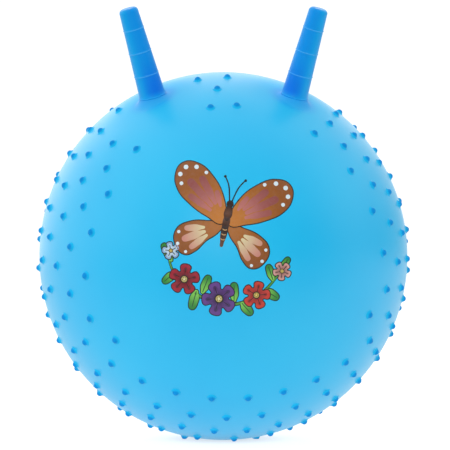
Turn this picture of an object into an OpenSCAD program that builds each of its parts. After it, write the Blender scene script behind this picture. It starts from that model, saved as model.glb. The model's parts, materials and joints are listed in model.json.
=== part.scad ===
// Hopper ball: an air-filled skin with moulded nubs, two hollow horns to hold, and a plugged valve.
// It stands on z = 0 with its bare, printed front towards -Y. The nubs lie in rings around an axis
// that leaves the front above its middle, and the valve lies where that axis leaves the back.

/* [Ball] */
// Outside diameter of the inflated ball, without its nubs
ball_d = 450; // [380:5:550]
// Wall of the stretched skin
skin_wall = 0.6; // [0.4:0.1:1.2]
// Depth to which the ball's own weight flattens its foot
foot_press = 1.5; // [0.8:0.1:2.5]

/* [Nubs] */
// Diameter of a nub
nub_d = 6.6; // [5.6:0.2:8]
// Height of a nub above the skin
nub_height = 4.4; // [3.6:0.2:5]
// Angle from the vertical forwards to the axis of the rings of nubs
ring_tilt = 58; // [50:1:66]
// Turn of that axis to the right, seen from the front
ring_turn = 2.5; // [0:0.5:6]
// Angle from the axis to the first ring
first_ring = 19; // [16:0.5:22]
// Angle from one ring to the next
ring_step = 10; // [9.5:0.1:10.2]
// Radius of the bare front, as an angle at the ball's centre
bare_angle = 46.3; // [40:0.1:50]
// Turn of the bare front to the right, seen from the front
bare_turn = 6.4; // [0:0.2:10]

/* [Horns] */
// Angle from the top of the ball sideways to a horn's root
root_side_angle = 24; // [20:0.5:28]
// Angle from there forwards to a horn's root
root_front_angle = 25; // [20:0.5:28]
// Sideways tilt of a horn, seen from the front
horn_spread = 15.6; // [10:0.2:22]
// Forward tilt of a horn, seen from the side
horn_lean = 16.6; // [10:0.2:22]
// Length of the flexible root, from the skin to the first ring
root_len = 30; // [26:0.5:34]
// Distance from one of the horn's rings to the next
grip_pitch = 28; // [24:0.5:34]
// Length of the end, past the last ring
tip_len = 26.5; // [20:0.5:34]
// Outside diameter of a horn at the skin, without its flare
horn_root_d = 30.4; // [28:0.2:34]
// Outside diameter of a horn at its end
horn_tip_d = 22.4; // [20:0.2:26]
// Wall of a horn
horn_wall = 1.6; // [1.2:0.1:2.2]
// Radius of a horn's rounded end
tip_round = 3.2; // [2.4:0.2:5]
// Height of a horn's raised rings
band_height = 0.5; // [0.3:0.1:0.9]
// Width of a horn's raised rings
band_width = 1.8; // [1.2:0.2:2.6]
// How far a horn's foot flares out over the skin
flare = 2; // [1:0.2:3]
// Height of that flare, up to the ring at the foot
flare_height = 3.4; // [2.6:0.2:5]
// Swell of a horn at the ring at its foot
foot_swell = 0.9; // [0:0.1:1.5]
// Length over which that swell fades up the horn
swell_len = 7; // [4:0.5:12]
// Radius of the bare patch around a horn, along the skin
horn_bare = 58; // [48:1:64]
// Turn of that patch from the horn's root towards the other horn
patch_inwards_angle = 3.5; // [0:0.5:6]
// Turn of that patch from the horn's root forwards
patch_forwards_angle = 5; // [0:0.5:8]
// Radius of the bare patch behind a horn, along the skin
horn_back_bare = 56; // [50:1:60]
// Turn of that patch from the horn's root backwards
patch_backwards_angle = 18.5; // [14:0.5:24]

/* [Valve] */
// Inside diameter of the valve seat
valve_bore_d = 8; // [6:0.5:10]
// Outside diameter of the seat's sleeve, inside the ball
sleeve_d = 13; // [12:0.5:16]
// Length of the sleeve, from the skin inwards
sleeve_len = 16; // [14:1:24]
// Diameter of the seat's flange, outside the ball
flange_d = 26; // [22:1:34]
// Height of the flange above the skin
flange_height = 1.4; // [1:0.1:2.2]
// Diameter of the plug's head
head_d = 15; // [12:0.5:18]
// Height of the plug's head
head_height = 1.8; // [1.2:0.1:2.6]
// Length of the plug's stem
stem_len = 14; // [10:0.5:20]
// Clearance around the stem
plug_clearance = 0.05; // [0.02:0.01:0.1]

/* [Hidden] */
$fn = 96;
nub_fn = 24;
ball_fn = 180;

skin_color = [0.25, 0.72, 0.94];
horn_color = [0.12, 0.53, 0.90];
seat_color = [0.16, 0.58, 0.90];
plug_color = [0.93, 0.94, 0.95];

full_turn = 360;
half_turn = 180;
quarter_turn = 90;
arc_step = 15;

// Every ring's count of nubs, and its first nub's place as a share of the step between two nubs.
ring_counts = [15, 20, 25, 29, 28, 32, 33, 34, 36, 30, 28, 27, 26, 20, 15];
ring_shares = [0.7, 0.35, 0.96, 0.92, 0.4, 0.57, 0.02, 0.96, 0.62, 0.24, 0.9, 0.4, 0.4, 0.5, 0.4];
// How far a nub stays from the valve, as a share of the flange's width.
valve_bare_share = 1.2;
// A horn's hidden foot, its closed end's wall and the stem's chamfer, as shares of its radius, its
// wall and the bore's radius.
foot_depth_share = 0.5;
end_wall_share = 1.25;
stem_chamfer_share = 0.25;
// Raised rings on the rigid grip, and points along the swell of the foot.
grip_rings = 3;
swell_steps = 3;

ball_r = ball_d / 2;
centre_z = ball_r - foot_press;
cutter_size = 2 * ball_d;
left = -1;
right = 1;

horn_len = root_len + (grip_rings - 1) * grip_pitch + tip_len;
horn_root_r = horn_root_d / 2;
horn_tip_r = horn_tip_d / 2;
// The rigid grip starts under its first ring, where the flexible root ends.
grip_start = root_len - band_width / 2;
// Depth under the skin from which a horn's foot and hole are drawn, before the ball cuts them.
foot_depth = foot_depth_share * horn_root_r + flare;
valve_r = valve_bore_d / 2;
head_round = head_height / 2;
stem_chamfer = stem_chamfer_share * valve_r;
end_wall = end_wall_share * horn_wall;

function unit(v) = v / norm(v);
function spin_x(v, a) = [v.x, v.y * cos(a) - v.z * sin(a), v.y * sin(a) + v.z * cos(a)];
function spin_z(v, a) = [v.x * cos(a) - v.y * sin(a), v.x * sin(a) + v.y * cos(a), v.z];
function angle_between(a, b) = acos(a * b);
function along_skin(distance) = distance / ball_r * half_turn / PI;

// Directions from the ball's centre.
function ring_way(polar, turn) =
    spin_z(spin_x([-sin(polar) * sin(turn), sin(polar) * cos(turn), cos(polar)], ring_tilt), ring_turn);
function shoulder_way(side, sideways, forwards) =
    [side * sin(sideways) * cos(forwards), -sin(forwards), cos(sideways) * cos(forwards)];
function root_way(side) = shoulder_way(side, root_side_angle, root_front_angle);
function patch_way(side) =
    shoulder_way(side, root_side_angle - patch_inwards_angle, root_front_angle + patch_forwards_angle);
function back_patch_way(side) =
    shoulder_way(side, root_side_angle, root_front_angle - patch_backwards_angle);
function horn_way(side) = unit([side * tan(horn_spread), -tan(horn_lean), 1]);
bare_way = spin_z([0, -1, 0], bare_turn);
valve_way = ring_way(half_turn, 0);

function has_nub(way) =
    angle_between(way, bare_way) > bare_angle
    && angle_between(way, patch_way(left)) > along_skin(horn_bare)
    && angle_between(way, patch_way(right)) > along_skin(horn_bare)
    && angle_between(way, back_patch_way(left)) > along_skin(horn_back_bare)
    && angle_between(way, back_patch_way(right)) > along_skin(horn_back_bare)
    && angle_between(way, valve_way) > along_skin(flange_d * valve_bare_share);
nub_ways = [
    for (k = [0 : len(ring_counts) - 1])
        for (i = [0 : ring_counts[k] - 1])
            let (
                turn = (i + ring_shares[k]) * full_turn / ring_counts[k],
                way = ring_way(first_ring + k * ring_step, turn)
            )
            if (has_nub(way)) way
];

function horn_r(s) = horn_root_r + (horn_tip_r - horn_root_r) * s / horn_len;
// A horn's raised ring, from its lower edge to its upper one, on a horn of a given radius there.
function band_points(s, r) = [
    for (a = [0 : 2 * arc_step : half_turn])
        [r + band_height * sin(a), s - band_width / 2 * cos(a)]
];
function foot_r(s) = horn_r(s) + foot_swell * pow(max(0, 1 - (s - flare_height) / swell_len), 2);

// Moves what is drawn on the Z axis so that Z runs along a direction from a point.
module place(point, way) {
    translate(point)
        rotate([0, acos(way.z), atan2(way.y, way.x)])
            children();
}

module on_skin(way) {
    place([0, 0, centre_z] + way * ball_r, way) children();
}

module on_horn(side) {
    place([0, 0, centre_z] + root_way(side) * ball_r, horn_way(side)) children();
}

// The ball's spheres have their poles on the rings' axis, one in the bare front and one in the valve.
module round_ball(r) {
    translate([0, 0, centre_z])
        rotate([0, 0, ring_turn])
            rotate([ring_tilt, 0, 0])
                sphere(r = r, $fn = ball_fn);
}

module below(z) {
    translate([-cutter_size / 2, -cutter_size / 2, z - cutter_size])
        cube(cutter_size);
}

module nub() {
    translate([0, 0, nub_height - nub_d / 2])
        sphere(d = nub_d, $fn = nub_fn);
}

module horn_hole(side) {
    on_horn(side)
        translate([0, 0, -foot_depth])
            cylinder(r = horn_root_r - horn_wall, h = 2 * foot_depth);
}

module valve_hole() {
    on_skin(valve_way)
        translate([0, 0, -sleeve_len / 2])
            cylinder(d = sleeve_d, h = sleeve_len);
}

// The air space ends one wall above the floor, so the flattened foot keeps its wall.
module air_space() {
    difference() {
        round_ball(ball_r - skin_wall);
        below(skin_wall);
    }
}

module ball_skin() {
    color(skin_color)
        difference() {
            union() {
                round_ball(ball_r);
                for (way = nub_ways) on_skin(way) nub();
            }
            below(0);
            air_space();
            horn_hole(left);
            horn_hole(right);
            valve_hole();
        }
}

module horn_root_form() {
    rotate_extrude()
        polygon(concat(
            [
                [horn_root_r - horn_wall, -foot_depth],
                [horn_r(0) + flare, -foot_depth]
            ],
            [
                for (a = [0 : arc_step : quarter_turn - arc_step])
                    [
                        foot_r(flare_height) + (flare - foot_swell) * (1 - sin(a)),
                        (flare_height - band_width / 2) * (1 - cos(a))
                    ]
            ],
            band_points(flare_height, foot_r(flare_height)),
            [
                for (i = [1 : swell_steps])
                    let (s = flare_height + band_width / 2 + (swell_len - band_width / 2) * i / swell_steps)
                        [foot_r(s), s]
            ],
            [
                [horn_r(grip_start), grip_start],
                [horn_r(grip_start) - horn_wall, grip_start],
                [horn_root_r - horn_wall, 0]
            ]
        ));
}

module horn_root(side) {
    color(horn_color)
        difference() {
            on_horn(side) horn_root_form();
            round_ball(ball_r);
        }
}

module horn_form() {
    rotate_extrude()
        polygon(concat(
            [
                [horn_r(grip_start) - horn_wall, grip_start],
                [horn_r(grip_start), grip_start]
            ],
            [
                for (i = [0 : grip_rings - 1])
                    let (s = root_len + i * grip_pitch)
                        each band_points(s, horn_r(s))
            ],
            [
                for (a = [0 : arc_step : quarter_turn])
                    [
                        horn_r(horn_len - tip_round) - tip_round * (1 - cos(a)),
                        horn_len - tip_round * (1 - sin(a))
                    ]
            ],
            [
                [0, horn_len],
                [0, horn_len - end_wall],
                [horn_r(horn_len) - tip_round, horn_len - end_wall],
                [horn_r(horn_len - tip_round) - horn_wall, horn_len - tip_round]
            ]
        ));
}

module horn(side) {
    color(horn_color)
        on_horn(side) horn_form();
}

module valve_seat() {
    color(seat_color)
        difference() {
            union() {
                difference() {
                    on_skin(valve_way)
                        translate([0, 0, -flange_height])
                            cylinder(d = flange_d, h = 2 * flange_height);
                    round_ball(ball_r);
                }
                on_skin(valve_way)
                    translate([0, 0, -sleeve_len])
                        cylinder(d = sleeve_d, h = sleeve_len + flange_height / 2);
            }
            on_skin(valve_way)
                translate([0, 0, -2 * sleeve_len])
                    cylinder(r = valve_r, h = sleeve_len * 3);
        }
}

module valve_plug() {
    stem_r = valve_r - plug_clearance;
    head_r = head_d / 2;
    color(plug_color)
        on_skin(valve_way)
            translate([0, 0, flange_height])
                rotate_extrude()
                    polygon(concat(
                        [
                            [0, -stem_len],
                            [stem_r - stem_chamfer, -stem_len],
                            [stem_r, -stem_len + 2 * stem_chamfer],
                            [stem_r, 0],
                            [head_r, 0]
                        ],
                        [
                            for (a = [0 : 2 * arc_step : quarter_turn])
                                [
                                    head_r - head_round * (1 - cos(a)),
                                    head_height - head_round * (1 - sin(a))
                                ]
                        ],
                        [[0, head_height]]
                    ));
}

ball_skin();
horn_root(left);  // left_horn_root
horn_root(right);  // right_horn_root
horn(left);  // left_horn
horn(right);  // right_horn
valve_seat();
valve_plug();
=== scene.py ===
import json
import math

import bmesh
import bpy
from mathutils import Matrix, Vector


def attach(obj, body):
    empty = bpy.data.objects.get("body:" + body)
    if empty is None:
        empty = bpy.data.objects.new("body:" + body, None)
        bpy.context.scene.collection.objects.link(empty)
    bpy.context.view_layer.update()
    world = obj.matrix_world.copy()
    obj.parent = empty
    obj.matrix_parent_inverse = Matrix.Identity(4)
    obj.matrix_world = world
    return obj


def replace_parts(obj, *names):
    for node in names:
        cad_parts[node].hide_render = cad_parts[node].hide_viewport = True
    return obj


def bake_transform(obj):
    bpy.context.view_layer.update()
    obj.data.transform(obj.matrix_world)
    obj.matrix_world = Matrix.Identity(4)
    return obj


# The looks of the hopper ball, in metres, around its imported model.
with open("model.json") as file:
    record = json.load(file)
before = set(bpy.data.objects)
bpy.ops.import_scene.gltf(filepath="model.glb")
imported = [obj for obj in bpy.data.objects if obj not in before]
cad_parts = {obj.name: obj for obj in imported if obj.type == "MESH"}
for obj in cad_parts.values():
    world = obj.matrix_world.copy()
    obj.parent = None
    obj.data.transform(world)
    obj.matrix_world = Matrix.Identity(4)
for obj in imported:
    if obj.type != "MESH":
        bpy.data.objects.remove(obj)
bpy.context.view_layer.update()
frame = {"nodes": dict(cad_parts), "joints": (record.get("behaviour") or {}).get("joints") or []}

MM = 0.001
UP = Vector((0, 0, 1))
LEFT = -1
RIGHT = 1

# Ball. Its skin is drawn a little small, so that the ink on it stays inside the ball's size.
BALL_R = 225 * MM
INK_ROOM = 0.2 * MM
SKIN_R = BALL_R - INK_ROOM
FOOT_PRESS = 1.5 * MM
SKIN_WALL = 0.6 * MM
BALL_SEGMENTS = 192
BALL_RINGS = 96
CENTRE = Vector((0, 0, BALL_R - FOOT_PRESS))

# Nubs
NUB_HEIGHT = 4.15 * MM
NUB_FOOT_R = 6 * MM
NUB_BELL_SHARES = [(0, 1), (0.27, 0.93), (0.48, 0.7), (0.63, 0.36), (0.78, 0.1)]
NUB_SEGMENTS = 10
NUB_SUNK = INK_ROOM + 0.1 * MM
NUB_KNOWN_ABOVE = NUB_HEIGHT / 3
NUBS_APART = 12 * MM
CROWN_FRONT = math.radians(4)
CROWN_BARE = 48 * MM

# Horns
ROOT_SIDE = math.radians(24)
ROOT_FRONT = math.radians(25)
HORN_SPREAD = math.radians(15.6)
HORN_LEAN = math.radians(16.6)
HORN_LEN = 110.95 * MM
HORN_ROOT_R = 15.8 * MM
HORN_TIP_R = 11.1 * MM
HORN_WALL = 1.6 * MM
HORN_SEGMENTS = 64
TIP_ROUND = 4.6 * MM
TIP_ROUND_STEPS = 7
TIP_WALL = 2 * MM
SHADE_STRIPE_TURN = math.radians(27)
FOOT_RING = 3.4 * MM
RING_PLACES = [FOOT_RING, 30 * MM, 58 * MM, 86 * MM]
BAND_HEIGHT = 0.5 * MM
BAND_SPREAD = 0.62 * MM
FLARE = 0.9 * MM
FLARE_RUN = 7 * MM
APRON_TOP = 2.4 * MM
APRON_R = 27 * MM
APRON_EDGE = 1 * MM
APRON_UNDER = 0.4 * MM
PROFILE_STEPS = 12
FINEST_STEP = 0.28 * MM
COARSEST_STEP = 2.4 * MM
BEND_START = 4 * MM
BEND_END = 27 * MM

# Valve
VALVE_WAY = Vector(next(j["axis"] for j in frame["joints"] if j["name"] == "valve_plug_pull"))
VALVE_SEGMENTS = 64
SLEEVE_R = 6.5 * MM
SLEEVE_LEN = 16 * MM
FLANGE_R = 13 * MM
FLANGE_HEIGHT = 1.4 * MM
BORE_R = 4 * MM
HEAD_R = 7.5 * MM
HEAD_HEIGHT = 1.8 * MM
STEM_R = 3.95 * MM
STEM_LEN = 14 * MM

# Printed picture, whose shapes are drawn flat in millimetres from the middle of the ball's front
INK_CELL = 3
INK_STEP = 0.02 * MM
INK_ROOT = 0.1 * MM
INK_LINE = 1.1

# Studio
PHOTO_WIDTH = 450
FOCAL_PX = 2120.5
BALL_PX = Vector((223.4, 256.0))
CAMERA_AWAY = 2.6
SENSOR_WIDTH = 36
FLOOR_R = 15
FLOOR_DROP = 0.2 * MM
FLOOR_GLOW = 0.88
BOUNCE_REACH = 80
BOUNCE_DROP = 0.4 * MM
BOUNCE_IN_FRONT = 0.15
BOUNCE_BEHIND = 0.72
SHADE_GLOW = 0.3
ROOM_WHITE = 1.03
DIM_ON_RIGHT = 0.75
DIM_IN_FRONT = 0.68


def root_way(side):
    return Vector((
        side * math.sin(ROOT_SIDE) * math.cos(ROOT_FRONT),
        -math.sin(ROOT_FRONT),
        math.cos(ROOT_SIDE) * math.cos(ROOT_FRONT),
    ))


def horn_way(side):
    return Vector((side * math.tan(HORN_SPREAD), -math.tan(HORN_LEAN), 1)).normalized()


def placed(point, way):
    """The matrix that puts what is drawn on the Z axis along a direction from a point."""
    return Matrix.Translation(point) @ way.to_track_quat("Z", "Y").to_matrix().to_4x4()


def piece(name, bm, body, slot, *finishes, sharp_angle=40):
    """A finished piece that rides on a body, or that is left free if it has none."""
    mesh = bpy.data.meshes.new(name)
    bm.to_mesh(mesh)
    bm.free()
    mesh.shade_smooth()
    mesh.set_sharp_from_angle(angle=math.radians(sharp_angle))
    for finish in finishes:
        mesh.materials.append(finish)
    made = bpy.data.objects.new(name, mesh)
    bpy.context.scene.collection.objects.link(made)
    if body:
        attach(made, body)
    return made


def lathe(profile, segments):
    """A closed turned shape around the Z axis, from its points of radius and height."""
    bm = bmesh.new()
    points = [bm.verts.new((r, 0, z)) for r, z in profile]
    edges = [bm.edges.new(pair) for pair in zip(points, points[1:])]
    bmesh.ops.spin(
        bm, geom=points + edges, cent=(0, 0, 0), axis=UP, angle=2 * math.pi,
        steps=segments, use_merge=True, use_duplicate=False,
    )
    bmesh.ops.remove_doubles(bm, verts=bm.verts, dist=0.001 * MM)
    bmesh.ops.recalc_face_normals(bm, faces=bm.faces)
    return bm


def rounded(centre_r, centre_z, radius, start, end, steps):
    """Points along an arc, from one angle to another in degrees."""
    angles = [math.radians(start + (end - start) * i / steps) for i in range(steps + 1)]
    return [(centre_r + radius * math.cos(a), centre_z + radius * math.sin(a)) for a in angles]


def add_copy(bm, other):
    """Adds what another bmesh holds, and frees it."""
    holder = bpy.data.meshes.new("holder")
    other.to_mesh(holder)
    other.free()
    bm.from_mesh(holder)
    bpy.data.meshes.remove(holder)


# Shader maths
class Value:
    """A socket that varies over a surface. Its operators add Math nodes to its finish."""

    def __init__(self, finish, socket):
        self.finish = finish
        self.socket = socket

    def _maths(self, operation, first, second):
        return self.finish.add("ShaderNodeMath", {"operation": operation}, {0: first, 1: second})

    def __add__(self, other):
        return self._maths("ADD", self, other)

    def __sub__(self, other):
        return self._maths("SUBTRACT", self, other)

    def __rsub__(self, other):
        return self._maths("SUBTRACT", other, self)

    def __mul__(self, other):
        return self._maths("MULTIPLY", self, other)

    __radd__ = __add__
    __rmul__ = __mul__


class Finish:
    """A material or the room's light, while its nodes are laid out."""

    def __init__(self, holder, shader="Principled BSDF", **constants):
        self.holder = holder
        self.holder.use_nodes = True
        self.nodes = holder.node_tree.nodes
        self.links = holder.node_tree.links
        self.shader = self.nodes[shader]
        for socket, value in constants.items():
            self.shader.inputs[socket.replace("_", " ")].default_value = value

    def add(self, kind, settings, sockets, out=0):
        """A node of a kind, with its settings first, then the values or links of its sockets."""
        node = self.nodes.new(kind)
        for name, value in settings.items():
            setattr(node, name, value)
        for socket, value in sockets.items():
            self.feed(node.inputs[socket], value)
        return Value(self, node.outputs[out])

    def feed(self, socket, value):
        if isinstance(value, Value):
            self.links.new(value.socket, socket)
        else:
            socket.default_value = value

    def place(self, coordinates="Object"):
        return self.add("ShaderNodeTexCoord", {}, {}, coordinates)

    def attribute(self, name, out):
        return self.add("ShaderNodeAttribute", {"attribute_name": name}, {}, out)

    def vector(self, operation, first, second=(0, 0, 0), out="Vector"):
        sockets = {0: first, 1: second}
        return self.add("ShaderNodeVectorMath", {"operation": operation}, sockets, out)

    def step(self, value, low, high, start=0.0, end=1.0):
        """Start up to low, end from high, and a smooth step between them."""
        sockets = {"Value": value, "From Min": low, "From Max": high}
        sockets |= {"To Min": start, "To Max": end}
        return self.add("ShaderNodeMapRange", {"interpolation_type": "SMOOTHSTEP"}, sockets)

    def noise(self, place, scale, detail=2.0, roughness=0.5):
        sockets = {"Vector": place, "Scale": scale, "Detail": detail, "Roughness": roughness}
        return self.add("ShaderNodeTexNoise", {}, sockets, "Fac")

    def mix(self, first, second, share, blend="MIX"):
        settings = {"data_type": "RGBA", "blend_type": blend}
        return self.add("ShaderNodeMix", settings, {0: share, 6: first, 7: second}, 2)

    def bump(self, height, distance, strength=1.0, normal=None):
        sockets = {"Height": height, "Distance": distance, "Strength": strength}
        if normal:
            sockets["Normal"] = normal
        return self.add("ShaderNodeBump", {}, sockets)

    def done(self, **links):
        for socket, value in links.items():
            self.feed(self.shader.inputs[socket.replace("_", " ")], value)
        return self.holder


def material(name, **constants):
    return Finish(bpy.data.materials.new(name), IOR=VINYL_IOR, **constants)


def colour(code):
    """A linear colour from its six hexadecimal digits."""
    channels = [int(code[i : i + 2], 16) / 255 for i in (0, 2, 4)]
    linear = [c / 12.92 if c <= 0.04045 else ((c + 0.055) / 1.055) ** 2.4 for c in channels]
    return (*linear, 1.0)


def grey(level):
    return (level, level, level, 1)


VINYL_IOR = 1.5
VINYL_ROUGHNESS = 0.29
VINYL_GRAIN = 900
GRAIN_DEPTH = 0.02 * MM
SKIN_CLOUDS = 7
SKIN_HAZE = 34
SKIN_SWELL = 26
SWELL_DEPTH = 0.12 * MM
NUB_TINTED_AT = 2.8 * MM
ROOT_TINT = (14 * MM, 36 * MM)
ROOT_DULL = (25 * MM, 75 * MM)
HORN_CLOUDS = 45
HORN_HAZE = 60
SKY = colour("16bcf2")
SKY_PALE = colour("1cc1f4")
NUB_BLUE = colour("0090dd")
ROOT_BLUE = colour("0a9cf0")
HORN_BLUE = colour("00a3ea")
HORN_PAINTED_SHADE_BLUE = colour("007aea")
RING_HIGHLIGHT_BLUE = colour("58bcfa")


def from_roots(finish, place):
    """The distance of a place from the root of the horn on its own side."""
    right_root = CENTRE + root_way(RIGHT) * BALL_R
    side = finish.vector("MULTIPLY", finish.vector("ABSOLUTE", place), (1, 0, 0))
    folded = finish.vector("ADD", side, finish.vector("MULTIPLY", place, (0, 1, 1)))
    return finish.vector("DISTANCE", folded, right_root, "Value")


def skin_colour(finish, place):
    """Sky blue with faint clouds of pigment, deeper around the horns' roots."""
    clouds = finish.noise(place, SKIN_CLOUDS, 3)
    sky = finish.mix(SKY, SKY_PALE, finish.step(clouds, 0.3, 0.7))
    near_root = finish.step(from_roots(finish, place), *ROOT_TINT, 0.75, 0)
    return finish.mix(sky, ROOT_BLUE, near_root)


def skin_finish(name, nub_share, **constants):
    """The skin's vinyl, darker and duller up its nubs, and duller where it nears the horns."""
    finish = material(name, **constants)
    place = finish.place()
    above = finish.vector("DISTANCE", place, CENTRE, "Value") - BALL_R
    nub = finish.step(above, 0, NUB_TINTED_AT, 0, nub_share)
    tinted = finish.mix(skin_colour(finish, place), NUB_BLUE, nub)
    thick = finish.step(from_roots(finish, place), *ROOT_DULL, 1, 0)
    haze = finish.noise(place, SKIN_HAZE, 3)
    grain = finish.noise(place, VINYL_GRAIN, 2)
    swell = finish.noise(place, SKIN_SWELL, 1)
    soft = finish.bump(swell, SWELL_DEPTH, 0.6)
    fine = finish.bump(grain, GRAIN_DEPTH, 0.35, soft)
    dull = haze * 0.05 + nub * 0.2 + thick * 0.2 + VINYL_ROUGHNESS
    return finish.done(Base_Color=tinted, Roughness=dull, Normal=fine)


def horn_finish():
    """The horns' vinyl, with painted shade as a deeper blue stripe down their inner fronts,
    strongest near the skin, and a painted highlight as paler blue on their raised rings.
    """
    finish = material("deep_blue_vinyl", Specular_IOR_Level=0.2)
    place = finish.attribute("rest_place", "Vector")
    along = finish.attribute("along", "Fac")
    ring = finish.attribute("ring", "Fac")
    painted_shade_facing = finish.attribute("painted_shade_facing", "Fac")
    # Painted shade: a deeper blue down each horn's inner front, stronger towards the skin
    deep = finish.step(painted_shade_facing, 0.35, 1.05) * finish.step(along, 0.12, 0.5, 1.0, 0.42)
    uneven = finish.noise(place, HORN_CLOUDS, 2) * 0.2 + 0.9
    shade_striped = finish.mix(HORN_BLUE, HORN_PAINTED_SHADE_BLUE, deep * uneven)
    # Painted highlight: the raised rings are made paler blue
    ring_highlighted = finish.mix(shade_striped, RING_HIGHLIGHT_BLUE, ring * 0.55)
    body = finish.mix(skin_colour(finish, place), ring_highlighted, finish.step(along, 0, 0.1))
    haze = finish.noise(place, HORN_HAZE, 3)
    fine = finish.bump(finish.noise(place, VINYL_GRAIN, 2), GRAIN_DEPTH, 0.4)
    return finish.done(Base_Color=body, Roughness=haze * 0.10 + VINYL_ROUGHNESS, Normal=fine)


def valve_finish():
    """The seat's firmer vinyl, a little mottled."""
    finish = material("moulded_valve_vinyl")
    place = finish.place()
    tint = finish.mix(colour("0f7cc8"), colour("1f90d8"), finish.noise(place, 120, 2))
    fine = finish.bump(finish.noise(place, 1300, 2), 0.015 * MM, 0.5)
    dull = finish.noise(place, 200, 2) * 0.1 + 0.36
    return finish.done(Base_Color=tint, Roughness=dull, Normal=fine)


def plug_finish():
    """The stopper's off-white plastic."""
    finish = material("white_plug_plastic")
    place = finish.place()
    tint = finish.mix(colour("eef1f3"), colour("dfe5ea"), finish.noise(place, 150, 3))
    fine = finish.bump(finish.noise(place, 1600, 2), 0.01 * MM, 0.5)
    dull = finish.noise(place, 240, 2) * 0.1 + 0.28
    return finish.done(Base_Color=tint, Roughness=dull, Normal=fine)


def ink_finish():
    """Satin ink in the colours of the print, a little uneven, as laid on by a pad."""
    finish = material("satin_ink")
    place = finish.place()
    laid = finish.attribute("ink", "Color")
    uneven = finish.step(finish.noise(place, 260, 3, 0.6), 0.3, 0.75)
    worn = finish.mix(laid, colour("8fb4c4"), uneven * 0.05)
    doubled = finish.mix(worn, worn, 1.0, "MULTIPLY")
    deep = finish.mix(worn, doubled, finish.noise(place, 90, 2) * 0.25)
    fine = finish.bump(finish.noise(place, 700, 2), 0.015 * MM, 0.4)
    return finish.done(Base_Color=deep, Roughness=uneven * 0.12 + 0.33, Normal=fine)


# Ball skin
def nub_ways():
    """The nubs' directions from the ball's centre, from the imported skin's own points."""
    offsets = [v.co - CENTRE for v in frame["nodes"]["ball_skin"].data.vertices]
    tops = [o.normalized() for o in offsets if o.length > BALL_R + NUB_KNOWN_ABOVE]
    cell = NUBS_APART / BALL_R
    near = math.cos(cell)
    groups = {}
    for way in tops:
        key = tuple(round(c / cell) for c in way)
        beside = [
            group
            for i in (-1, 0, 1) for j in (-1, 0, 1) for k in (-1, 0, 1)
            for group in groups.get((key[0] + i, key[1] + j, key[2] + k), [])
        ]
        found = next((g for g in beside if g[0].dot(way) > near), None)
        if found is None:
            groups.setdefault(key, []).append([way, way.copy()])
        else:
            found[1] += way
    return [g[1].normalized() for group in groups.values() for g in group]


def nub_shape():
    """One soft nub on the Z axis, in the nubs' vinyl: a bell whose foot runs out under the skin."""
    bell = [(r * NUB_FOOT_R, h * NUB_HEIGHT) for r, h in NUB_BELL_SHARES]
    bm = lathe(bell + [(NUB_FOOT_R, -NUB_SUNK), (0, -2 * INK_ROOM)], NUB_SEGMENTS)
    for face in bm.faces:
        face.material_index = 1
    return bm


def round_hole(bm, point, way, radius):
    """Opens a round hole in the ball, and draws its edge onto a circle around the axis."""
    def from_axis(co):
        offset = co - point
        return offset - way * offset.dot(way)

    near = [f for f in bm.faces if (f.calc_center_median() - point).length < 4 * radius]
    gone = [f for f in near if from_axis(f.calc_center_median()).length < radius]
    bmesh.ops.delete(bm, geom=gone, context="FACES")
    edge = [v for v in bm.verts if v.is_boundary and (v.co - point).length < 4 * radius]
    for v in edge:
        out = from_axis(v.co)
        moved = v.co + out.normalized() * (radius - out.length)
        v.co = CENTRE + (moved - CENTRE).normalized() * SKIN_R


def inflated_skin(skin, nubs):
    """The hollow ball on its flat foot, open at its horns and valve, with its nubs."""
    bm = bmesh.new()
    bmesh.ops.create_uvsphere(
        bm, u_segments=BALL_SEGMENTS, v_segments=BALL_RINGS, radius=SKIN_R,
        matrix=placed(CENTRE, VALVE_WAY),
    )
    for side in (LEFT, RIGHT):
        round_hole(bm, CENTRE + root_way(side) * SKIN_R, horn_way(side), HORN_ROOT_R - HORN_WALL)
    round_hole(bm, CENTRE + VALVE_WAY * SKIN_R, VALVE_WAY, SLEEVE_R)
    everything = bm.verts[:] + bm.edges[:] + bm.faces[:]
    cut = bmesh.ops.bisect_plane(
        bm, geom=everything, plane_co=(0, 0, 0), plane_no=-UP, clear_outer=True
    )
    rim = [e for e in cut["geom_cut"] if isinstance(e, bmesh.types.BMEdge)]
    bmesh.ops.edgeloop_fill(bm, edges=rim)
    bmesh.ops.recalc_face_normals(bm, faces=bm.faces)
    bmesh.ops.solidify(bm, geom=bm.faces[:], thickness=SKIN_WALL)

    shape = nub_shape()
    crown = Vector((0, -math.sin(CROWN_FRONT), math.cos(CROWN_FRONT)))
    for way in nub_ways():
        under_foot = -way.z > CENTRE.z / BALL_R
        on_crown = way.dot(crown) > math.cos(CROWN_BARE / BALL_R)
        if under_foot or on_crown:
            continue
        one = shape.copy()
        bmesh.ops.transform(one, matrix=placed(CENTRE + way * BALL_R, way), verts=one.verts)
        for v in one.verts:
            v.co.z = max(v.co.z, 0)
        add_copy(bm, one)
    shape.free()
    made = piece("inflated_skin", bm, "ball", "ball_vinyl", skin, nubs, sharp_angle=80)
    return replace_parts(made, "ball_skin")


# Horns
def ring_crest(s):
    """How much of a raised ring there is at a distance from the skin, from 0 to 1."""
    return sum(math.exp(-(((s - ring) / BAND_SPREAD) ** 2)) for ring in RING_PLACES)


def horn_radius(s):
    """A horn's radius at a distance from the skin, with its swollen foot and raised rings."""
    taper = HORN_ROOT_R + (HORN_TIP_R - HORN_ROOT_R) * s / HORN_LEN
    swell = FLARE * max(0, 1 - abs(s - FOOT_RING) / FLARE_RUN) ** 2
    return taper + swell + BAND_HEIGHT * ring_crest(s)


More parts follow.
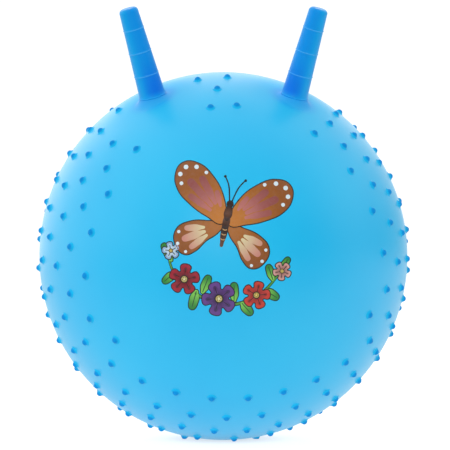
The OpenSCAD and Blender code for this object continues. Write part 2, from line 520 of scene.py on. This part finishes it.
def horn_heights(top, bottom):
    """Heights down a horn, close together at its rings."""
    heights = [top]
    while heights[-1] > bottom:
        nearest = min(abs(heights[-1] - ring) for ring in RING_PLACES)
        heights.append(heights[-1] - min(max(nearest * 0.3, FINEST_STEP), COARSEST_STEP))
    return heights[:-1] + [bottom]


def horn_profile():
    """Down the outside, out over the skin, back under it and up the hollow inside."""
    tip_r = horn_radius(HORN_LEN - TIP_ROUND)
    flat_r = tip_r - TIP_ROUND
    end = [(0, HORN_LEN), (0.5 * flat_r, HORN_LEN)]
    end += rounded(flat_r, HORN_LEN - TIP_ROUND, TIP_ROUND, 90, 0, TIP_ROUND_STEPS)
    below_tip = HORN_LEN - TIP_ROUND - 1.5 * MM
    outside = [(horn_radius(s), s) for s in horn_heights(below_tip, APRON_TOP)]
    foot_r = horn_radius(APRON_TOP)
    shares = [i / PROFILE_STEPS for i in range(PROFILE_STEPS + 1)]
    apron = [
        (foot_r + (APRON_R - foot_r) * share, APRON_TOP * (1 - share) ** 3 - 0.05 * MM * share)
        for share in shares[1:]
    ]
    under = [(APRON_R - APRON_EDGE, -APRON_UNDER), (HORN_ROOT_R, -APRON_UNDER)]
    inner_top = HORN_LEN - TIP_WALL
    inside = [
        (HORN_ROOT_R - HORN_WALL - (HORN_ROOT_R - HORN_TIP_R) * share, inner_top * share)
        for share in shares[:-1]
    ]
    top = [(HORN_TIP_R - HORN_WALL - 0.5 * MM, inner_top), (0, inner_top)]
    return end + outside + apron + under + inside + top


def horn(side, vinyl, skin):
    """One hollow horn in a single skin with its flared foot, which settles onto the ball."""
    drawn = placed(CENTRE + root_way(side) * BALL_R, horn_way(side))
    centre = drawn.inverted() @ CENTRE
    bm = lathe(horn_profile(), HORN_SEGMENTS)
    for face in bm.faces:
        face.material_index = int(face.calc_center_median().z < APRON_TOP)
    along = bm.verts.layers.float.new("along")
    ring = bm.verts.layers.float.new("ring")
    painted_shade_facing = bm.verts.layers.float.new("painted_shade_facing")
    # How far each point faces the horn's inner front, where the finish paints shade as a deeper
    # blue
    painted_shade_way = Vector((-side * math.sin(SHADE_STRIPE_TURN), -math.cos(SHADE_STRIPE_TURN), 0))
    rest_place = bm.verts.layers.float_vector.new("rest_place")
    for v in bm.verts:
        v[along] = v.co.z / HORN_LEN
        # The ring crest, which the horns' finish paints paler as a highlight
        v[ring] = ring_crest(v.co.z)
        outwards = drawn.to_3x3() @ Vector((v.co.x, v.co.y, 0))
        v[painted_shade_facing] = outwards.normalized().dot(painted_shade_way)
        if v.co.z < APRON_TOP:
            x, y = v.co.x - centre.x, v.co.y - centre.y
            level = centre.z + math.sqrt(SKIN_R**2 - x**2 - y**2)
            v.co.z += level * (1 - max(v.co.z, 0) / APRON_TOP)
    bmesh.ops.transform(bm, matrix=drawn, verts=bm.verts)
    for v in bm.verts:
        v[rest_place] = v.co
    name = "left" if side == LEFT else "right"
    made = piece(name + "_horn_skin", bm, None, "horn_vinyl", vinyl, skin)
    start = drawn @ Vector((0, 0, BEND_START))
    end = drawn @ Vector((0, 0, BEND_END))
    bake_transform(made)
    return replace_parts(made, name + "_horn_root", name + "_horn")


# Valve
def valve_flange(finish):
    """The moulded seat: a thin flange with a raised bead, around a sleeve with a true bore."""
    web = FLANGE_HEIGHT - 0.35 * MM
    edge = 0.45 * MM
    sunk = -0.5 * MM
    bead = rounded(10.4 * MM, web, FLANGE_HEIGHT - web, 0, 180, 6)
    profile = [
        (BORE_R, -SLEEVE_LEN),
        (BORE_R, FLANGE_HEIGHT - 0.4 * MM),
        (BORE_R + 0.4 * MM, FLANGE_HEIGHT),
        (HEAD_R + 0.5 * MM, FLANGE_HEIGHT),
        (HEAD_R + 0.8 * MM, web),
        *reversed(bead),
        *rounded(FLANGE_R - edge, web - edge, edge, 90, 0, 4),
        (FLANGE_R, sunk),
        (SLEEVE_R, sunk - 0.3 * MM),
        (SLEEVE_R, -SLEEVE_LEN),
        (BORE_R, -SLEEVE_LEN),
    ]
    bm = lathe(profile, VALVE_SEGMENTS)
    bmesh.ops.transform(bm, matrix=placed(CENTRE + VALVE_WAY * BALL_R, VALVE_WAY), verts=bm.verts)
    made = piece("valve_flange", bm, "ball", "valve_vinyl", finish)
    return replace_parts(made, "valve_seat")


def valve_stopper(finish):
    """The stopper: a dished head on a grooved stem."""
    groove = 0.3 * MM
    stem = []
    for place in (10.5 * MM, 8 * MM, 5.5 * MM, 3 * MM):
        stem += [
            (STEM_R, -place),
            (STEM_R - groove, -place + groove),
            (STEM_R - groove, -place + 2 * groove),
            (STEM_R, -place + 3 * groove),
        ]
    head_round = HEAD_HEIGHT / 2
    dish = 0.35 * MM
    profile = [
        (0, -STEM_LEN),
        (STEM_R - 1 * MM, -STEM_LEN),
        (STEM_R, -STEM_LEN + 2 * MM),
        *stem,
        (STEM_R, 0),
        (HEAD_R - 0.2 * MM, 0),
        (HEAD_R, 0.2 * MM),
        *rounded(HEAD_R - head_round, HEAD_HEIGHT - head_round, head_round, 0, 90, 5),
        (HEAD_R - 1.6 * MM, HEAD_HEIGHT),
        (HEAD_R - 2.1 * MM, HEAD_HEIGHT - dish),
        (1.1 * MM, HEAD_HEIGHT - dish),
        (0.9 * MM, HEAD_HEIGHT - 0.1 * MM),
        (0, HEAD_HEIGHT - 0.1 * MM),
    ]
    bm = lathe(profile, VALVE_SEGMENTS)
    top = CENTRE + VALVE_WAY * (BALL_R + FLANGE_HEIGHT)
    bmesh.ops.transform(bm, matrix=placed(top, VALVE_WAY), verts=bm.verts)
    made = piece("valve_stopper", bm, "valve_plug", "plug_plastic", finish)
    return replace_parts(made, "valve_plug")


# Printed picture: a butterfly over a garland of five blossoms
OUTLINE = colour("1a1210")


def turned(angle, x=0, y=0, scale=1):
    """The place of a motif: its middle, its turn in degrees and its scale."""
    turn = Matrix.Rotation(math.radians(angle), 4, "Z")
    return Matrix.Translation((x, y, 0)) @ turn @ Matrix.Scale(scale, 4)


def around(count, start=0):
    """Evenly spaced angles in degrees."""
    return [start + 360 * i / count for i in range(count)]


def at_angle(angle, distance):
    return Vector((math.cos(math.radians(angle)), math.sin(math.radians(angle)))) * distance


def drop(start, end, width, belly=0.6):
    """The outline of a leaf, petal or wing cell, widest at the belly's share of its length."""
    start, end = Vector(start), Vector(end)
    run = end - start
    across = Vector((-run.y, run.x)).normalized() * width / 2
    middle = start + run * belly
    early = start + run * belly / 3
    narrow = across * 0.62
    return [start, early - narrow, middle - across, end, middle + across, early + narrow]


def dot(centre, radius):
    return [Vector(centre) + at_angle(angle, radius) for angle in around(6)]


def stroke(points, width):
    """The outline of a pen line that thins out towards both of its ends."""
    points = [Vector(p) for p in points]
    sides = []
    for i, point in enumerate(points):
        run = points[min(i + 1, len(points) - 1)] - points[max(i - 1, 0)]
        share = i / (len(points) - 1)
        half = width / 2 * (0.35 + 0.65 * math.sin(math.pi * share))
        sides.append((point, Vector((-run.y, run.x)).normalized() * half))
    return [p + s for p, s in sides] + [p - s for p, s in reversed(sides)]


def blossom_outline(radius, petals=5, notch=0.56):
    points = []
    for angle in around(petals, 90):
        step = 180 / petals
        points += [
            at_angle(angle - step, radius * notch),
            at_angle(angle - 0.55 * step, radius * 0.95),
            at_angle(angle, radius * 1.02),
            at_angle(angle + 0.55 * step, radius * 0.95),
        ]
    return points


def flat_shape(points, grow):
    """A flat bmesh within a smooth closed outline through some points, grown by a margin."""
    curve = bpy.data.curves.new("outline", "CURVE")
    curve.dimensions = "2D"
    curve.fill_mode = "BOTH"
    curve.offset = grow
    curve.resolution_u = 6
    spline = curve.splines.new("BEZIER")
    spline.bezier_points.add(len(points) - 1)
    for bezier, point in zip(spline.bezier_points, points):
        bezier.co = (point[0], point[1], 0)
        bezier.handle_left_type = "AUTO"
        bezier.handle_right_type = "AUTO"
    spline.use_cyclic_u = True
    holder = bpy.data.objects.new("outline", curve)
    mesh = bpy.data.meshes.new_from_object(holder)
    bm = bmesh.new()
    bm.from_mesh(mesh)
    bpy.data.meshes.remove(mesh)
    bpy.data.objects.remove(holder)
    bpy.data.curves.remove(curve)
    bmesh.ops.remove_doubles(bm, verts=bm.verts, dist=0.001)
    return bm


def into_cells(bm):
    """Cuts a flat shape along a grid, so that it can follow the ball."""
    for axis in (Vector((1, 0, 0)), Vector((0, 1, 0))):
        reach = [v.co.dot(axis) for v in bm.verts]
        for i in range(math.ceil(min(reach) / INK_CELL), math.floor(max(reach) / INK_CELL) + 1):
            geom = bm.verts[:] + bm.edges[:] + bm.faces[:]
            bmesh.ops.bisect_plane(bm, geom=geom, plane_co=axis * i * INK_CELL, plane_no=axis)


class Print:
    """Inked shapes, laid one over another and wrapped onto the front of the ball."""

    def __init__(self):
        self.bm = bmesh.new()

    def ink(self, at, layer, points, inner, outer=None, focus=(0, 0), reach=20, grow=0):
        """Lays one shape, in one ink or in two that meet at a distance from a focus."""
        one = flat_shape(points, grow)
        into_cells(one)
        ink = one.verts.layers.float_color.new("ink")
        first, last = Vector(inner), Vector(outer or inner)
        for v in one.verts:
            share = min((v.co.xy - Vector(focus)).length / reach, 1)
            v[ink] = first.lerp(last, share * share * (3 - 2 * share))
        bmesh.ops.transform(one, matrix=at, verts=one.verts)
        one.normal_update()
        bmesh.ops.reverse_faces(one, faces=[f for f in one.faces if f.normal.z < 0])
        height = (layer + 1) * INK_STEP
        for v in one.verts:
            x, z = v.co.x * MM, v.co.y * MM
            out = Vector((x, -math.sqrt(SKIN_R**2 - x**2 - z**2), z)).normalized()
            v.co = CENTRE + out * (SKIN_R + height)
        one.normal_update()
        bmesh.ops.solidify(one, geom=one.faces[:], thickness=height + INK_ROOT)
        add_copy(self.bm, one)

    def lined(self, at, layer, points, inner, outer=None, focus=(0, 0), reach=20):
        """A shape with a dark line around it."""
        self.ink(at, layer, points, OUTLINE, grow=INK_LINE)
        self.ink(at, layer + 1, points, inner, outer, focus, reach)


UPPER_WING = [
    (2, 5), (8, 26), (24, 47), (45, 59), (61, 56),
    (66, 42), (60, 26), (44, 13), (22, 3), (3, -1),
]
LOWER_WING = [
    (3, -1), (20, -2), (40, -7), (52, -18), (50, -34),
    (38, -43), (27, -37), (18, -24), (6, -11),
]
UPPER_CELLS = [(64, 14.5, 34, 6), (50.5, 19, 55, 8.2), (37, 19, 60, 8.2), (23.5, 17, 48, 7)]
LOWER_CELLS = [(-14, 37, 7.4), (-31.4, 42, 8.4), (-49, 39, 7)]
UPPER_SPOTS = [
    ((33, 50.5), 2), ((45, 54.5), 2.5), ((56.5, 52), 2.6), ((61, 43), 2.5), ((57.5, 33), 2.1),
]
LOWER_SPOTS = [((49, -20), 1.8), ((47.5, -33), 1.9), ((37, -40), 1.7)]


def wings(sheet, at):
    """Brown wings with rosy cells, a pale hem of spots and cream cells below."""
    brown, dark_brown = colour("c47a22"), colour("94541a")
    rose, dusk = colour("cc8078"), colour("944c48")
    pale, cream = colour("dcebf2"), colour("e2e2b0")
    root, low_root = Vector((3, 3)), Vector((8, -6))
    sheet.lined(at, 2, LOWER_WING, colour("b06c24"), dark_brown, (6, -6), 52)
    sheet.lined(at, 4, UPPER_WING, brown, dark_brown, root, 74)
    for angle, near, far, width in UPPER_CELLS:
        cell = drop(root + at_angle(angle, near), root + at_angle(angle, far), width)
        sheet.ink(at, 6, cell, rose, dusk, root, 60)
    for centre, radius in UPPER_SPOTS:
        sheet.ink(at, 6, dot(centre, radius), pale)
    for angle, far, width in LOWER_CELLS:
        cell = drop(low_root + at_angle(angle, 14), low_root + at_angle(angle, far), width)
        sheet.ink(at, 4, cell, cream, rose, low_root, 50)
    for centre, radius in LOWER_SPOTS:
        sheet.ink(at, 4, dot(centre, radius), pale)


def butterfly(sheet, at):
    """Both pairs of wings, two feelers, and a furry body with pale bands."""
    for side in (LEFT, RIGHT):
        wings(sheet, at @ Matrix.Diagonal((side, 1, 1, 1)))
    umber, fur = colour("2c1a14"), colour("6b4026")
    for side in (LEFT, RIGHT):
        feeler = [(side * 1, 22), (side * 3, 32), (side * 6, 42), (side * 11, 50)]
        sheet.ink(at, 6, stroke(feeler, 1.5), OUTLINE)
        sheet.ink(at, 7, dot((side * 11.5, 50.5), 1.5), OUTLINE)
    sheet.ink(at, 7, drop((0, -27), (0, 8), 7.5, 0.55), umber, fur, (0, -8), 18)
    sheet.ink(at, 7.5, drop((0, 2), (0, 20), 9.5, 0.5), fur, umber, (0, 11), 9)
    sheet.ink(at, 8, dot((0, 21.5), 4), umber)
    for height in (-18, -12.5, -7):
        band = [(-2.6, height), (0, height - 0.9), (2.6, height)]
        sheet.ink(at, 8, stroke(band, 1), colour("c9a06a"))


def blossom(sheet, at, radius, inner, outer, eye, petals=5):
    """An open flower, with a darker throat, a line down each petal and a dotted eye."""
    outline = blossom_outline(radius, petals)
    sheet.lined(at, 2, outline, inner, outer, (0, 0), radius)
    for angle in around(petals, 90):
        near, far = at_angle(angle, radius * 0.3), at_angle(angle, radius * 0.82)
        sheet.ink(at, 4, drop(near, far, radius * 0.26), outer, inner, (0, 0), radius)
        line = [at_angle(angle, radius * share) for share in (0.25, 0.5, 0.72)]
        sheet.ink(at, 4.5, stroke(line, 0.8), OUTLINE)
    sheet.ink(at, 5, dot((0, 0), radius * 0.27), OUTLINE)
    sheet.ink(at, 6, dot((0, 0), radius * 0.2), eye, colour("b9a04a"), (0, 0), radius * 0.25)
    for angle in around(5, 60):
        sheet.ink(at, 7, dot(at_angle(angle, radius * 0.11), radius * 0.035), colour("6a4a1c"))


def leaf(sheet, start, end, width):
    """A pointed leaf with its midrib."""
    flat = turned(0)
    start, end = Vector(start), Vector(end)
    length = (end - start).length
    blade = drop(start, end, width, 0.5)
    sheet.lined(flat, 0, blade, colour("8cd458"), colour("2a8a34"), start, length)
    midrib = [start.lerp(end, share) for share in (0.05, 0.45, 0.9)]
    sheet.ink(flat, 1.5, stroke(midrib, 1), colour("24502a"))


def garland(sheet):
    """A bowed stem with its leaves, under five blossoms."""
    stem = [(-62, 14), (-58, -14), (-36, -38), (-4, -54), (32, -48), (58, -26), (70, -4)]
    sheet.ink(turned(0), 0, stroke(stem, 4.4), OUTLINE)
    sheet.ink(turned(0), 1, stroke(stem, 2.4), colour("52a03c"))
    for start, end, width in (
        ((-58, -6), (-68, 14), 8), ((-54, -18), (-68, -30), 9), ((-30, -38), (-36, -60), 10),
        ((-24, -42), (-16, -22), 9), ((12, -52), (12, -30), 9), ((20, -52), (32, -66), 10),
        ((46, -38), (62, -48), 10), ((56, -28), (50, -10), 8), ((64, -16), (74, -2), 7),
    ):
        leaf(sheet, start, end, width)
    blossom(sheet, turned(12, -59, 6), 9.5, colour("dcebf2"), colour("8fb4d8"), colour("e8d070"))
    blossom(sheet, turned(-8, -44, -26), 16.5, colour("5c0e1c"), colour("a81c30"), colour("e2e2b0"))
    blossom(sheet, turned(20, -5, -48), 18.5, colour("3a1c50"), colour("6c4290"), colour("e2e2b0"))
    blossom(sheet, turned(-14, 37, -44), 15, colour("8c1a1c"), colour("d04030"), colour("e8d070"))
    blossom(sheet, turned(30, 66, -17), 10, colour("8c5a54"), colour("d8a49a"), colour("e8d070"))


def front_picture(finish):
    sheet = Print()
    garland(sheet)
    butterfly(sheet, turned(-12, 3, 37, 1.02))
    return piece("front_picture", sheet.bm, "ball", None, finish)


deep_blue = horn_finish()
soft_sky = skin_finish("soft_sky_vinyl", 0)
inflated_skin(soft_sky, skin_finish("nub_vinyl", 0.95, Specular_IOR_Level=0.12))
for side in (LEFT, RIGHT):
    horn(side, deep_blue, soft_sky)
valve_flange(valve_finish())
valve_stopper(plug_finish())
front_picture(ink_finish())


# Camera, floor and light
def camera():
    """Level with the ball's centre, as in the photograph, which shows it below the middle."""
    data = bpy.data.cameras.new("camera")
    data.sensor_width = SENSOR_WIDTH
    data.lens = FOCAL_PX / PHOTO_WIDTH * data.sensor_width
    data.shift_x = (PHOTO_WIDTH / 2 - BALL_PX.x) / PHOTO_WIDTH
    data.shift_y = (BALL_PX.y - PHOTO_WIDTH / 2) / PHOTO_WIDTH
    made = bpy.data.objects.new("camera", data)
    made.location = CENTRE - Vector((0, CAMERA_AWAY, 0))
    made.rotation_euler = (math.radians(90), 0, 0)
    bpy.context.scene.collection.objects.link(made)
    bpy.context.scene.camera = made


def set_piece(name, bm, front_glow, back_glow):
    """A pale glowing part of the studio, with a faint shade where the ball stands."""
    mesh = bpy.data.meshes.new(name)
    bm.to_mesh(mesh)
    bm.free()
    finish = material("pale_" + name, Roughness=0.9, Emission_Strength=1)
    place = finish.place()
    pale = finish.mix(colour("888888"), colour("8c8c8c"), finish.noise(place, 3))
    backwards = finish.vector("DOT_PRODUCT", place, (0, 1, 0), "Value")
    glow = finish.mix(front_glow, back_glow, finish.step(backwards, -0.8, -0.12))
    under = finish.step(finish.vector("LENGTH", place, out="Value"), 0.02, 0.1, 0.4, 0)
    shaded = finish.mix(glow, grey(SHADE_GLOW), under)
    mesh.materials.append(finish.done(Base_Color=pale, Emission_Color=shaded))
    made = bpy.data.objects.new(name, mesh)
    bpy.context.scene.collection.objects.link(made)
    return made


def floor():
    """A pale floor that runs up into a dome. It shows, and doesn't light the ball."""
    bm = bmesh.new()
    bmesh.ops.create_uvsphere(bm, u_segments=64, v_segments=32, radius=FLOOR_R)
    for v in bm.verts:
        v.co.z = max(v.co.z, 0) - FLOOR_DROP
    made = set_piece("floor", bm, grey(FLOOR_GLOW), grey(FLOOR_GLOW))
    made.visible_diffuse = False
    made.visible_glossy = False
    made.visible_shadow = False


def bounce():
    """The light that the floor throws back up, weaker in front of the ball. It doesn't show."""
    bm = bmesh.new()
    bmesh.ops.create_grid(bm, x_segments=4, y_segments=4, size=BOUNCE_REACH)
    bmesh.ops.translate(bm, vec=(0, 0, -BOUNCE_DROP), verts=bm.verts)
    made = set_piece("bounce", bm, grey(BOUNCE_IN_FRONT), grey(BOUNCE_BEHIND))
    made.visible_camera = False


def softbox(name, location, size, energy):
    """A large soft light that is out of the ball's gloss."""
    data = bpy.data.lights.new(name, "AREA")
    data.shape = "RECTANGLE"
    data.size, data.size_y = size
    data.energy = energy
    made = bpy.data.objects.new(name, data)
    made.location = location
    made.rotation_euler = (CENTRE - made.location).to_track_quat("-Z", "Y").to_euler()
    made.visible_glossy = False
    bpy.context.scene.collection.objects.link(made)


def white_room():
    """White all round, brightest high at the back, and dim in front and low on the right."""
    room = Finish(bpy.data.worlds.new("white_room"), "Background", Color=(1, 1, 1, 1))
    way = room.place("Generated")

    def towards(x, y, z):
        return room.vector("DOT_PRODUCT", way, Vector((x, y, z)).normalized(), "Value")

    up = towards(0, 0, 1)
    left = room.step(towards(-1, 0, 0.5), 0.4, 1)
    back = room.step(towards(-0.2, 1, 0.45), 0.6, 1)
    right = room.step(towards(0.97, -0.26, 0), -0.3, 0.75) * room.step(up, 0, 0.6, 1, 0)
    front = room.step(towards(0.25, -1, 0), 0, 0.85)
    high = room.step(up, 0.6, 1)
    white = left * 0.15 + back * 0.5 - high * 0.05 + ROOM_WHITE
    strength = white * (1 - right * DIM_ON_RIGHT) * (1 - front * DIM_IN_FRONT)
    bpy.context.scene.world = room.done(Strength=strength)


camera()
floor()
bounce()
white_room()
softbox("front", Vector((-0.2, -3.3, 1.3)), (2, 2), 48)
softbox("right", Vector((2.4, -0.3, 0.8)), (1.5, 1.5), 8)
bpy.context.scene.view_settings.view_transform = "Standard"
